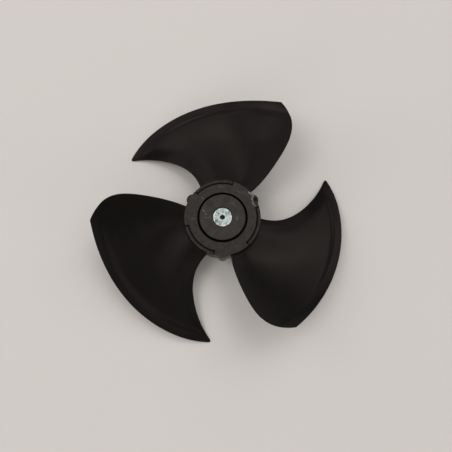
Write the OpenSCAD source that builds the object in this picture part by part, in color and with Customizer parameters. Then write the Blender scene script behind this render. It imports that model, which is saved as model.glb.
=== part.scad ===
// Axial fan impeller for an outdoor air-conditioning unit: three swept blades and a
// ribbed cup-shaped hub in one moulding, with a plated steel shaft bush moulded in.
// The air leaves on the +Z side. The origin is on the shaft axis at the level of the hub's
// ring face, so that heights are counted from that face, and the impeller lies on its three
// leading tips.

/* [Impeller] */
// Diameter over the blades
fan_d = 400; // [340:1:460]
// Diameter of the hub
hub_d = 120; // [112:0.5:130]
// Height of the hub from its face to its open back
hub_h = 55; // [48:0.5:70]
// Number of blades, bumps and rim clips
blade_count = 3; // [2:1:4]

/* [Blade plan] */
// Angle of the trailing edge at the hub
trail_root = 42.7; // [38:0.1:47]
// Pull of the trailing edge near the hub
trail_inner = 39.8; // [34:0.1:46]
// Pull of the trailing edge at mid span
trail_mid = 51; // [44:0.1:58]
// Pull of the trailing edge near the rim
trail_outer = 41.5; // [36:0.1:48]
// Angle of the trailing corner at the rim
trail_tip = 62.7; // [56:0.1:70]
// Angle of the leading edge at the hub
lead_root = 124.8; // [118:0.1:130]
// Pull of the leading edge near the hub
lead_inner = 113.7; // [108:0.1:120]
// Pull of the leading edge at mid span
lead_mid = 130.8; // [124:0.1:138]
// Pull of the leading edge near the rim
lead_outer = 135; // [128:0.1:142]
// Angle of the leading tip at the rim
lead_tip = 145.1; // [138:0.1:152]
// Radius that rounds the leading tip
tip_round = 6; // [3:0.5:9]
// Distance that the rim falls inside the full diameter at the leading tip
tip_relief = 2.4; // [0:0.1:4]

/* [Blade rise] */
// Depth of the trailing edge below the hub face, at the hub
trail_sink = 4.1; // [4:0.1:9]
// Pull of the trailing edge's rise near the hub
trail_rise_inner = 2; // [-4:0.5:12]
// Pull of the trailing edge's rise near the rim
trail_rise_outer = 46; // [36:0.5:56]
// Rise of the trailing corner above the hub face
corner_rise = 29; // [20:0.5:40]
// Depth of the leading edge below the hub face, at the hub
lead_sink = 38.8; // [30:0.1:44]
// Pull of the leading edge's depth near the hub
lead_sink_inner = 48.2; // [42:0.1:58]
// Pull of the leading edge's depth near the rim
lead_sink_outer = 75.3; // [66:0.1:80]
// Depth of the leading tip below the hub face
tip_sink = 87.7; // [78:0.1:96]
// Camber at the hub, first pull as a share of the section's fall
camber_root_a = 1.04; // [0.6:0.01:1.1]
// Camber at the hub, second pull
camber_root_b = 0.71; // [0.62:0.01:0.85]
// Camber between hub and rim, first pull
camber_mid_a = 0.585; // [0.4:0.005:0.8]
// Camber between hub and rim, second pull
camber_mid_b = 0.705; // [0.62:0.005:0.8]
// Camber at the rim, first pull
camber_tip_a = 0.72; // [0.34:0.005:0.8]
// Camber at the rim, second pull
camber_tip_b = 0.73; // [0.66:0.01:0.85]
// Depth of the shallow hollow in the middle of the blade
belly_sink = 1.4; // [0:0.1:3]
// Extra depth of the hollow on the trailing side, taken off the leading side
belly_lean = 1.3; // [0:0.1:2]

/* [Blade section] */
// Thickness at the hub
blade_t_root = 4.6; // [3.5:0.1:5]
// Thickness at the rim
blade_t_tip = 2.9; // [2:0.1:4]
// Share of the thickness that is left at the trailing edge
trail_thin = 0.62; // [0.5:0.01:1]
// Width over which the trailing edge thins
trail_thin_w = 26; // [10:1:40]
// Radius of the fillet between blade and hub
root_fillet = 3; // [1:0.25:3]
// Share of the span at which the blade starts to swell towards the rim
swell_at = 0.51; // [0.3:0.01:0.6]
// Distance from the rim at which the swell starts to roll over
rim_roll = 20; // [14:0.5:26]
// Fall of that roll
roll_fall = 1.9; // [0:0.1:3]
// Width of the flat band along the rim, outside the roll's crease
rim_band = 9; // [7:0.5:12]
// Fall of the band at the trailing corner
band_fall_trail = 3.7; // [0:0.1:5]
// Fall of the band at the leading tip
band_fall_lead = 0.8; // [0:0.1:3]
// Share of the chord at which the blade starts to swell towards the leading edge
nose_at = 0.2; // [0.1:0.01:0.5]
// Distance from the leading edge at which that swell starts to roll over
nose_roll = 23; // [16:0.5:28]
// Fall of that roll
nose_roll_fall = 0.5; // [0:0.1:2]
// Width of the flat strip along the leading edge
nose_w = 9; // [6:0.5:12]
// Fall of the strip
nose_fall = 0.9; // [0:0.1:3]

/* [Hub] */
// Thickness of the hub's outer wall
wall = 3.6; // [3:0.1:4.5]
// Thickness of the hub's end plate
plate = 4; // [3:0.1:5]
// Chamfer round the hub face
hub_chamfer = 0.8; // [0.3:0.1:1.5]
// Diameter of the central disc
disc_d = 72; // [68:0.5:74]
// Height of the central disc above the hub face
disc_rise = 3.4; // [2:0.1:5]
// Chamfer round the central disc
disc_edge = 1; // [0.3:0.1:1.5]
// Width of the ring groove round the disc
groove_w = 3.4; // [2.5:0.1:4]
// Depth of the ring groove below the hub face
groove_depth = 13; // [8:0.25:18]
// Chamfer on the outer edge of the ring groove
ring_edge = 0.5; // [0.2:0.1:1]
// Number of ribs inside the hub
rib_count = 6; // [4:1:8]
// Thickness of each rib
rib_t = 2.6; // [1.6:0.1:4]
// Depth that the ribs reach at the hub wall, below the hub face
rib_h = 38; // [30:0.5:46]
// Diameter of the boss that holds the bush
boss_d = 44; // [38:0.5:50]

/* [Rim bumps and clips] */
// Radius of each half-round bump down the hub side
bump_r = 9; // [6:0.25:10]
// Distance that each bump stands out from the hub
bump_out = 4; // [2:0.1:5]
// Angle of the first bump
bump_at = 30; // [20:0.5:36]
// Angle of the first arc groove's start
arc_at = 75; // [70:0.5:80]
// Angle that each arc groove spans
arc_span = 60; // [40:0.5:60]
// Mean radius of the arc grooves
arc_r = 54.6; // [52:0.1:55]
// Width of each arc groove
arc_w = 2.2; // [1:0.1:2.5]
// Plastic left under each arc groove
arc_web = 0.8; // [0.6:0.1:1.5]
// Depth of the narrow lip outside each arc groove
lip_drop = 1; // [0:0.1:1.4]
// Width of the slot across the rim at each end of an arc
slot_w = 2.6; // [1.5:0.1:4]
// Plastic left under each slot
slot_web = 0.6; // [0.4:0.1:1.2]
// Width of the broken pocket in the first bump
scar_w = 5; // [3:0.25:6]
// Length of the broken pocket
scar_l = 9; // [7:0.25:10]
// Depth of the broken pocket
scar_depth = 2.2; // [1:0.1:3.5]

/* [Mould marks] */
// Diameter of the two round dial inserts
dial_d = 9; // [6:0.25:10]
// Radius at which the dials lie
dial_r = 29; // [27:0.25:30]
// Angle of the first dial
dial_a = 75; // [60:1:85]
// Angle of the second dial
dial_b = 132; // [125:1:145]
// Width of a dial's ring line
dial_line = 0.7; // [0.4:0.05:1]
// Depth of the dial lines
dial_depth = 0.4; // [0.2:0.05:0.8]

/* [Shaft bush] */
// Diameter of the bush
bush_d = 30; // [26:0.5:32]
// Length of the bush
bush_l = 34; // [28:0.5:44]
// Depth of the bush face below the disc
bush_sink = 1.4; // [0.5:0.1:2.5]
// Chamfer at each end of the bush
bush_chamfer = 0.8; // [0.3:0.1:1.2]
// Depth of the hidden groove that locks the bush in the boss
lock_depth = 1.5; // [0.8:0.1:2.5]
// Width of the hidden groove
lock_w = 10; // [6:0.5:14]
// Diameter of the shaft bore
bore_d = 8; // [6:0.1:10]
// Chamfer at each end of the bore
bore_chamfer = 1.1; // [0.4:0.1:1.5]
// Diameter of the punch mark in the bush face
punch_d = 2; // [1:0.1:3]
// Radius at which the punch mark lies
punch_r = 12; // [10:0.25:12.5]
// Angle of the punch mark
punch_at = 211; // [180:1:240]

/* [Hidden] */
$fn = 96;
e = 0.01;
// length by which a cut runs out of what it cuts, and a piece of the union into its neighbour
over = 1;
fan_r = fan_d / 2;
hub_r = hub_d / 2;
disc_r = disc_d / 2;
boss_r = boss_d / 2;
bush_r = bush_d / 2;
ring_r = disc_r + groove_w;
span = fan_r - hub_r;
bush_z = disc_rise - bush_sink;
// the bush stands out of the boss at the back by its own chamfer and a little more
boss_back = bush_z - bush_l + 2 * bush_chamfer;
pitch = 360 / blade_count;
arc_in = arc_r - arc_w / 2;
arc_out = arc_r + arc_w / 2;
bump_c = hub_r + bump_out - bump_r;
arc_depth = plate - arc_web;
slot_depth = plate - slot_web;
slot_a = slot_w / arc_r * 180 / PI;
// sections along the span, as distances from the hub surface
grip = wall / 2;
fillet_steps = [-0.15, 0.12, 0.4, 1];
body_steps = 12;
roll_steps = [0.6, 1];
tip_steps = [1, 0.6, 0.3, 0.1, 0];
stations = concat(
    [-grip],
    [for (a = fillet_steps) a * root_fillet],
    [for (i = [1 : body_steps]) root_fillet + (span - rim_roll - root_fillet) * i / body_steps],
    [for (a = roll_steps) span - mix(rim_roll, rim_band, a)],
    [for (a = tip_steps) span - tip_round * a]);
// steps along the chord between the two rounded edges, and the share by which they crowd at the ends
chord_steps = 15;
crowding = 0.6;
nose_steps = [0, 0.3, 1];
// share of the chord at which the rim starts to fall inside the full diameter
relief_at = 0.8;
// share of the chord over which the rim band's fall changes
band_reach = 0.77;
// share of the thickness that is left at the very rim, and of the fillet that each side of the blade has
rim_thin = 0.72;
fillet_share = 0.7;
// length of a dial's bar as a share of its diameter
dial_bar = 0.6;

function mix(a, b, x) = a + (b - a) * x;
function clamp(x) = max(0, min(1, x));
function ease(x) = let(c = clamp(x)) c * c * (3 - 2 * c);
// smooth curves between the first and the last value, drawn by the pulls between them
function curve3(a, b, c, x) = mix(mix(a, b, x), mix(b, c, x), x);
function curve4(a, b, c, d, x) = mix(curve3(a, b, c, x), curve3(b, c, d, x), x);
function curve5(a, b, c, d, f, x) = mix(curve4(a, b, c, d, x), curve4(b, c, d, f, x), x);
// edges of the blade at share u of the span: angle, and height over the hub face
function trail_a(u) = curve5(trail_root, trail_inner, trail_mid, trail_outer, trail_tip, u);
function lead_a(u) = curve5(lead_root, lead_inner, lead_mid, lead_outer, lead_tip, u);
function trail_z(u) = curve4(-trail_sink, trail_rise_inner, trail_rise_outer, corner_rise, u);
function lead_z(u) = curve4(-lead_sink, -lead_sink_inner, -lead_sink_outer, -tip_sink, u);
function radius(u, t) = let(x = clamp((t - relief_at) / (1 - relief_at)))
    hub_r + span * u - tip_relief * max(0, u) * x * x;
// width of the blade at share u, and the share of it that the rounded tip leaves
function chord(u) = (hub_r + span * u) * (lead_a(u) - trail_a(u)) * PI / 180;
function kept(d) = let(x = clamp((d - span + tip_round) / tip_round))
    1 - tip_round * (1 - sqrt(1 - x * x)) / chord(d / span);
// extra height of a swell at distance y inside an edge: up to the roll by share x of the way
// there, over the roll to its crease, and straight down the flat strip outside the crease
function swell(y, x, roll, roll_drop, strip, strip_drop) =
    let(o = clamp((roll - y) / (roll - strip)))
    y > roll ? (roll_drop + strip_drop) * ease(x)
    : y > strip ? roll_drop * (1 - o * o) + strip_drop
    : strip_drop * y / strip;
function band_lift(d, t) = swell(span - d, (d / span - swell_at) / (1 - rim_roll / span - swell_at),
    rim_roll, roll_fall, rim_band, mix(band_fall_trail, band_fall_lead, ease(t / band_reach)));
function nose_lift(u, t) = let(c = chord(u))
    swell((1 - t) * c, (t - nose_at) / (1 - nose_roll / c - nose_at),
        nose_roll, nose_roll_fall, nose_w, nose_fall);
function lift(d, t) = let(u = d / span)
    band_lift(d, t) * ease((1 - t) * chord(u) / nose_roll)
    + nose_lift(u, t) * ease((span - d) / rim_roll);
// depth of the hollow, which is full in the middle of the blade and nothing at its four edges
function belly(u, t) = 16 * u * (1 - u) * t * (1 - t) * (belly_sink + belly_lean * (1 - 2 * t));
// share of the section's fall from trailing to leading edge that is reached at share t of the chord
function camber(u, t) = curve4(0, curve3(camber_root_a, camber_mid_a, camber_tip_a, u),
    curve3(camber_root_b, camber_mid_b, camber_tip_b, u), 1, t);
function mean_z(d, t) = let(u = d / span, a = trail_z(u), b = lead_z(u))
    a + (b - a) * camber(u, t) + lift(d, t) - belly(u, t);
function mean_a(u, t) = mix(trail_a(u), lead_a(u), t);
// half thickness at distance d from the hub and width w from the trailing edge
function half_t(d, w) = let(u = clamp(d / span), f = clamp(1 - max(0, d) / root_fillet))
    mix(blade_t_root, blade_t_tip, u) / 2 * mix(trail_thin, 1, ease(w / trail_thin_w))
    + root_fillet * (1 - sqrt(1 - f * f)) * fillet_share;
function rounding(x) = sqrt(1 - pow(1 - clamp(x), 2));
// shares of the chord at which the section at distance d has its points
function shares(d) = let(
    c = chord(d / span), k = kept(d), r = half_t(span, 0) / c, m = half_t(span, trail_thin_w) / c)
    concat([for (s = nose_steps) s * r],
        [for (i = [1 : chord_steps - 1]) let(x = i / chord_steps)
            mix(r, k - m, mix(x, (1 - cos(180 * x)) / 2, crowding))],
        [for (i = [2 : -1 : 0]) k - nose_steps[i] * m]);
// point of the section at share t, on the pressure side (+1) or the suction side (-1)
function blade_point(d, t, side) = let(
    u = d / span, r = radius(u, t), c = chord(u), w = t * c, v = (kept(d) - t) * c,
    step = 0.01, ds = r * (mean_a(u, t + step) - mean_a(u, t)) * PI / 180,
    dz = mean_z(d, t + step) - mean_z(d, t), l = norm([ds, dz]), edge = d > span - e ? rim_thin : 1,
    h = side * edge * half_t(d, w) * rounding(min(w / half_t(span, 0), v / half_t(span, trail_thin_w))),
    a = mean_a(u, t) - h * dz / l / r * 180 / PI)
    [r * cos(a), r * sin(a), mean_z(d, t) + h * ds / l];

// one blade as a closed skin of section loops from inside the hub wall to the rim
module blade() {
    loops = [for (d = stations) let(s = shares(d), n = len(s) - 1) concat(
        [for (i = [0 : n]) blade_point(d, s[i], 1)],
        [for (i = [n - 1 : -1 : 1]) blade_point(d, s[i], -1)])];
    m = len(loops[0]);
    n = m / 2;
    last = (len(loops) - 1) * m;
    skin = [for (i = [0 : len(loops) - 2], k = [0 : m - 1]) let(
        a = i * m + k, b = i * m + (k + 1) % m, c = b + m, d = a + m) each [[a, b, c], [a, c, d]]];
    ends = [for (k = [0 : n - 1]) let(p = k, q = k + 1, y = m - k - 1, x = (m - k) % m)
        each concat(
            q == y ? [] : [[q, p, y], [last + p, last + q, last + y]],
            x == p ? [] : [[p, x, y], [last + x, last + p, last + y]])];
    polyhedron(points = [for (l = loops) each l], faces = concat(skin, ends), convexity = 6);
}

// hub shell: wall, end plate, ring groove and raised disc, with the boss in the middle
module hub_shell() {
    deck = -plate;
    under = -groove_depth - plate;
    rotate_extrude() polygon([
        [bush_r - lock_depth - over, disc_rise], [disc_r - disc_edge, disc_rise],
        [disc_r, disc_rise - disc_edge], [disc_r, -groove_depth], [ring_r, -groove_depth],
        [ring_r, -ring_edge], [ring_r + ring_edge, 0],
        [hub_r - hub_chamfer, 0], [hub_r, -hub_chamfer], [hub_r, -hub_h],
        [hub_r - wall, -hub_h], [hub_r - wall, deck], [ring_r + plate, deck], [ring_r + plate, under],
        [disc_r - plate, under], [disc_r - plate, disc_rise - plate], [boss_r, disc_rise - plate],
        [boss_r, boss_back], [bush_r - lock_depth - over, boss_back]]);
}

// ribs from the boss to the wall, stepped under the disc, the ring groove and the end plate
module hub_ribs() {
    for (i = [0 : rib_count - 1]) rotate([90, 0, i * 360 / rib_count])
        translate([0, 0, -rib_t / 2]) linear_extrude(rib_t) polygon([
            [boss_r - over, boss_back + rib_t / 2], [boss_r, boss_back + rib_t / 2],
            [hub_r - wall / 2, -rib_h], [hub_r - wall / 2, -plate / 2],
            [ring_r + plate / 2, -plate / 2], [ring_r + plate / 2, -groove_depth - plate / 2],
            [disc_r - plate / 2, -groove_depth - plate / 2], [disc_r - plate / 2, disc_rise - plate / 2],
            [boss_r - over, disc_rise - plate / 2]]);
}

module bumps() {
    for (i = [0 : blade_count - 1]) rotate(bump_at + i * pitch)
        translate([bump_c, 0, -hub_h]) intersection() {
            cylinder(r = bump_r, h = hub_h);
            translate([hub_r - wall / 2 - bump_c, -bump_r, 0]) cube([bump_r * 2, bump_r * 2, hub_h]);
        }
}

// part of a flat ring below the hub face, from one angle to another
module sector(from, to, inner, outer, depth) {
    rotate(from) translate([0, 0, -depth]) rotate_extrude(angle = to - from)
        translate([inner, 0]) square([outer - inner, depth + over]);
}

// thin arc groove, lowered lip outside it and a slot across the rim at each end
module arc_clips() {
    for (i = [0 : blade_count - 1]) rotate(arc_at + i * pitch) {
        sector(-slot_a / 2, arc_span + slot_a / 2, arc_in, arc_out, arc_depth);
        sector(-slot_a / 2, arc_span + slot_a / 2, arc_r, hub_r + over, lip_drop);
        for (a = [-slot_a, arc_span])
            sector(a, a + slot_a, arc_in - arc_w / 6, hub_r + 2 * over, slot_depth);
    }
}

// broken pocket in the top of the first bump
module scar() {
    flat = scar_l - scar_w;
    rotate(bump_at) translate([hub_r - scar_w / 2 + bump_out / 2, 0, -scar_depth]) {
        for (s = [-1, 1]) translate([0, s * flat / 2, 0]) cylinder(d = scar_w, h = scar_depth + over);
        translate([-scar_w / 2, -flat / 2, 0]) cube([scar_w, flat, scar_depth + over]);
    }
}

module dial(angle) {
    rotate(angle) translate([dial_r, 0, disc_rise - dial_depth]) {
        difference() {
            cylinder(d = dial_d, h = dial_depth + over);
            translate([0, 0, -over]) cylinder(d = dial_d - 2 * dial_line, h = dial_depth + 3 * over);
        }
        translate([-dial_d * dial_bar / 2, -dial_line / 2, 0])
            cube([dial_d * dial_bar, dial_line, dial_depth + over]);
    }
}

// solid of the bush inside the plastic, without its end chamfers
module bush_core(top) {
    lock_z = bush_z - bush_l / 2;
    rotate_extrude() polygon([
        [0, bush_z - bush_l], [bush_r, bush_z - bush_l], [bush_r, lock_z - lock_w / 2],
        [bush_r - lock_depth, lock_z - lock_w / 2], [bush_r - lock_depth, lock_z + lock_w / 2],
        [bush_r, lock_z + lock_w / 2], [bush_r, top], [0, top]]);
}

module end_chamfer(r, c) {
    rotate_extrude() polygon([[r - c, 0], [r + over, 0], [r + over, c + over], [r, c]]);
}

module impeller() {
    color([0.15, 0.14, 0.14]) difference() {
        union() {
            hub_shell();
            hub_ribs();
            bumps();
            for (i = [0 : blade_count - 1]) rotate(i * pitch) blade();
        }
        bush_core(disc_rise + over);
        arc_clips();
        scar();
        dial(dial_a);
        dial(dial_b);
    }
}

module shaft_bush() {
    bottom = bush_z - bush_l;
    color([0.78, 0.82, 0.82]) difference() {
        bush_core(bush_z);
        translate([0, 0, bush_z]) mirror([0, 0, 1]) end_chamfer(bush_r, bush_chamfer);
        translate([0, 0, bottom]) end_chamfer(bush_r, bush_chamfer);
        translate([0, 0, bottom - over]) cylinder(d = bore_d, h = bush_l + 2 * over);
        for (s = [0, 1]) translate([0, 0, s == 0 ? bush_z : bottom]) mirror([0, 0, 1 - s])
            translate([0, 0, -e])
            cylinder(r1 = bore_d / 2 + bore_chamfer, r2 = bore_d / 2 - e, h = bore_chamfer + 2 * e);
        rotate(punch_at) translate([punch_r, 0, bush_z - punch_d / 2])
            cylinder(d1 = e, d2 = punch_d, h = punch_d / 2 + e);
    }
}

impeller();
shaft_bush();
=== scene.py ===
"""Builds the looks of an axial fan impeller round its packed CAD frame.

The black moulding (cup hub, ribs and three swept blades) and the plated steel shaft bush are
each made as one closed mesh from named sizes, given a procedural finish, and shown on a plain
pale floor from the angle at which the real one was photographed.
"""

import math

import bmesh
import bpy
import numpy as np
from mathutils import Matrix, Vector


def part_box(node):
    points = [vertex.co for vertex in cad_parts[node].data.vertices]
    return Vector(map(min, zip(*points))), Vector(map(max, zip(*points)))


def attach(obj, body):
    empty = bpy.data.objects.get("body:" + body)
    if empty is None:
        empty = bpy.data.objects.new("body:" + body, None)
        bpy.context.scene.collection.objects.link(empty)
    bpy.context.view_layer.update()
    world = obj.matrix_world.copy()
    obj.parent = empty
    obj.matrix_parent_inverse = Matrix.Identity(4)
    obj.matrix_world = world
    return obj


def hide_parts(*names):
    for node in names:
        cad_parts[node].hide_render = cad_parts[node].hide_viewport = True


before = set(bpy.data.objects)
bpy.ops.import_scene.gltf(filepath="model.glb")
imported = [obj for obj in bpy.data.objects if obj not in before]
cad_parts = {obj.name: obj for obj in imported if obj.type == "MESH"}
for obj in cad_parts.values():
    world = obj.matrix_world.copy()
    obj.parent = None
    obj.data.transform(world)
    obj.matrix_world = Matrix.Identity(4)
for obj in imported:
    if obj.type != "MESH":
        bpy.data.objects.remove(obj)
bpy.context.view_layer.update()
IMPELLER_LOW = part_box("impeller")[0]
BUSH_LOW, BUSH_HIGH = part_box("shaft_bush")

bl_info = {
    "name": "Axial fan impeller",
    "version": (1, 0, 0),
    "blender": (4, 5, 0),
    "location": "View3D > Sidebar > Impeller",
    "description": "Moulded three-blade fan impeller with a plated shaft bush",
    "category": "Add Mesh",
}

MM = 0.001
BODY = "root"

# ---------------------------------------------------------------- blade form
# Pulls of the blade's edges from the hub to the rim: angles in degrees, heights over the
# hub face in millimetres.
TRAIL_ANGLES = (42.7, 39.8, 51.0, 41.5, 62.7)
LEAD_ANGLES = (124.8, 113.7, 130.8, 135.0, 145.1)
TRAIL_HEIGHTS = (-4.1, 2.0, 46.0, 29.0)
LEAD_HEIGHTS = (-38.8, -48.2, -75.3, -87.7)
# The camber's first and second pull, at the hub, between hub and rim, and at the rim.
CAMBER_FIRST = (1.04, 0.585, 0.72)
CAMBER_SECOND = (0.71, 0.705, 0.73)
# Depth of the shallow hollow in the middle of the blade, and what it gains on the trailing
# side and loses on the leading side.
BELLY_SINK, BELLY_LEAN = 1.4, 1.3
# Share of the thickness left at the trailing edge, and the width over which it thins.
TRAIL_THIN = 0.62
TRAIL_THIN_WIDTH = 26.0
# Share of the span and of the chord at which the skin starts to swell towards the edges.
SWELL_AT, NOSE_AT = 0.51, 0.2
# Share of the chord over which the rim band's fall changes, and share of the nose roll over
# which the band fades in behind the leading edge.
BAND_REACH, BAND_FADE = 0.77, 0.6
# Share of the chord from which the rim falls away towards the leading tip.
TIP_RELIEF_AT = 0.8
# Share of the root fillet that each side of the blade gets, and how far round the rim's
# rounding goes.
FILLET_SHARE, RIM_ROUND_SHARE = 0.7, 0.97
# Sections of the skin: at the root in shares of the fillet, at the rim in degrees of its
# rounding, and elsewhere by their number.
ROOT_SECTIONS = (-0.15, 0.03, 0.1, 0.2, 0.34, 0.52, 0.75, 1)
RIM_SECTIONS = (15, 30, 45, 60, 75)
BODY_SECTIONS, ROLL_SECTIONS, BAND_SECTIONS, TIP_SECTIONS = 36, 11, 4, 15
# Points of a section along the chord and round each edge, and how far those along the chord
# crowd towards the edges.
CHORD_POINTS, EDGE_POINTS, CROWDING = 74, 7, 0.6

# ---------------------------------------------------------------- hub and bush details
# Angles round the shaft, in degrees. A bump is cut back to BUMP_HALF on both sides.
BUMP_AT, BUMP_HALF = 30.0, 14.0
ARC_AT, ARC_SPAN = 75.0, 60.0
DIAL_ANGLES = (75.0, 132.0)
PUNCH_AT = 211.0
# Ragged outline of the broken pocket, as shares of its half width and half length, and how
# much of it there is at each share of the depth and at the top.
RAGGED = (1.0, 0.84, 1.1, 0.92, 1.12, 0.88, 1.06, 0.95, 1.14, 0.86, 1.03, 0.9, 1.08, 0.87)
POCKET_LEVELS = ((1.0, 0.5), (0.7, 0.82), (0.25, 0.97))
POCKET_TOP = 1.02
# Share of a dial's radius that its bar reaches.
DIAL_BAR = 0.6
# In millimetres: height at which the cutters end, and length of bush that stands out of the
# boss at the back.
CUT_TOP, BUSH_PROUD = 3.0, 1.6
# Degrees above which an edge stays crisp.
CRISP = 32.0
# The corners of a square.
CORNERS = ((-1, -1), (1, -1), (1, 1), (-1, 1))
# Straight marks on the hub face: start, end, width (all in millimetres) and strength.
WELD_LINES = (
    ((-34.5, -1.1), (-15.5, -0.9), 1.5, 0.9),
    ((-19.6, -30.8), (-8.0, -18.9), 1.5, 1.0),
    ((13.5, 25.5), (22.5, 14.5), 2.0, 0.8),
    ((34.5, -1.5), (17.0, 0.5), 1.5, 0.5),
    ((20.0, -28.0), (11.0, -13.5), 1.5, 0.4),
    ((-3.0, 33.0), (-2.0, 20.0), 1.6, 0.4),
    ((-28.0, -16.0), (-20.0, -9.0), 2.2, 0.4),
)
SCUFFS = (
    ((-50.5, -2.7), (-42.0, -2.1), 1.4, 0.22),
    ((-31.2, 11.8), (-27.6, 7.6), 1.5, 0.5),
    ((-27.4, 6.2), (-24.0, 3.4), 1.3, 0.45),
    ((22.2, 1.2), (22.9, -6.5), 1.3, 0.4),
    ((21.5, 43.2), (29.5, 38.6), 1.6, 0.12),
    ((-33.6, 32.4), (-29.4, 28.6), 1.5, 0.3),
    ((-9.0, 50.0), (6.0, 48.0), 1.2, 0.15),
)
# The same for the whitened plastic round the broken pocket.
WHITENED = (
    ((40.0, 41.2), (46.8, 36.0), 2.4, 1.0),
    ((46.0, 36.8), (50.8, 31.0), 2.0, 0.9),
    ((46.6, 34.0), (46.4, 26.0), 2.0, 0.8),
    ((46.8, 26.8), (49.2, 18.6), 1.9, 0.8),
    ((53.4, 17.0), (50.0, 20.0), 1.4, 0.5),
    ((29.6, 41.6), (40.0, 34.0), 1.4, 0.12),
)
# The same for the painted shade in the punch mark and a dark speck beside it, and for the
# painted shade inside the pocket.
PUNCH_SHADE_AND_SPECK = (
    ((-11.4, -6.2), (-9.8, -7.4), 1.5, 1.4),
    ((-9.6, -5.8), (-8.6, -6.0), 1.1, 1.0),
)
POCKET = (((50.0, 31.5), (54.0, 23.0), 4.5, 1.0),)
# Where the plastic's finish changes, in metres: the outline and the height of the hub face,
# the lowered lips, the step from the disc to the ring, the flat of the disc, in whose dials'
# lines shade is painted, the arc grooves, the ring groove and the pocket, where shade is
# painted too, and the ring round the bush, on whose upper side a shadow is painted.
FACE_R, FACE_Z = 0.065, -0.0017
LIP_Z = -0.00065
DISC_TO_RING = (0.038, 0.04)
DISC_INNER, DISC_OUTER = 0.02, 0.033
ARC_OUTER, GROOVE_Z = 0.0569, -0.00145
RING_GROOVE_TO_ARC = (0.045, 0.046)
POCKET_Z = -0.001
BUSH_SHADOW_R, BUSH_SHADOW_W = 0.0156, 0.001
# The same for the bush: the outer edge and bore mouth with painted highlights, and the bore.
BUSH_EDGE = (0.0118, 0.0146)
MOUTH_R, MOUTH_W = 0.0046, 0.0016
BORE_R = 0.004
# Dust on the disc and on the ring round it, and how much darker the lowered lips are made.
DISC_DUST, RING_DUST, LIP_DARKENING = 0.92, 0.74, 0.25

# ---------------------------------------------------------------- stage
# Half the floor's side in millimetres, and the camera's sensor.
FLOOR_HALF, SENSOR = 6000.0, 36.0
# Lamps on a dome: angle over the floor, angle round the shaft from +X, watts.
LAMPS = (
    (66, 240, 45.6),
    (66, 180, 233.5),
    (66, 120, 48.5),
    (66, 60, 198.8),
    (66, 0, 76.0),
    (44, 324, 11.2),
    (44, 288, 42.8),
    (44, 252, 42.4),
    (44, 180, 21.7),
    (44, 144, 69.4),
    (44, 72, 54.3),
    (44, 36, 93.5),
    (27, 330, 35.2),
    (27, 270, 7.8),
    (27, 240, 38.5),
    (27, 180, 59.6),
    (27, 150, 15.5),
    (27, 60, 17.2),
    (10, 330, 26.7),
    (10, 300, 4.1),
    (10, 270, 16.3),
    (10, 240, 34.9),
    (10, 210, 20.6),
    (10, 180, 95.0),
    (10, 150, 24.9),
    (10, 120, 80.6),
    (10, 30, 38.1),
    (10, 0, 40.2),
)
# Sizes of the lamps and how far they stand off, in metres. Those below LOW_LAMP degrees are
# less tall.
LAMP_SIZE, LOW_LAMP_SIZE, LAMP_REACH, LOW_LAMP = 3.6, 2.8, 9.2, 20


def mix(a, b, x):
    return a + (b - a) * x


def clamp(x):
    return np.clip(x, 0.0, 1.0)


def ease(x):
    x = clamp(x)
    return x * x * (3 - 2 * x)


def bezier(pulls, x):
    n = len(pulls) - 1
    return sum(
        math.comb(n, i) * (1 - x) ** (n - i) * x**i * pull
        for i, pull in enumerate(pulls)
    )


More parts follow.
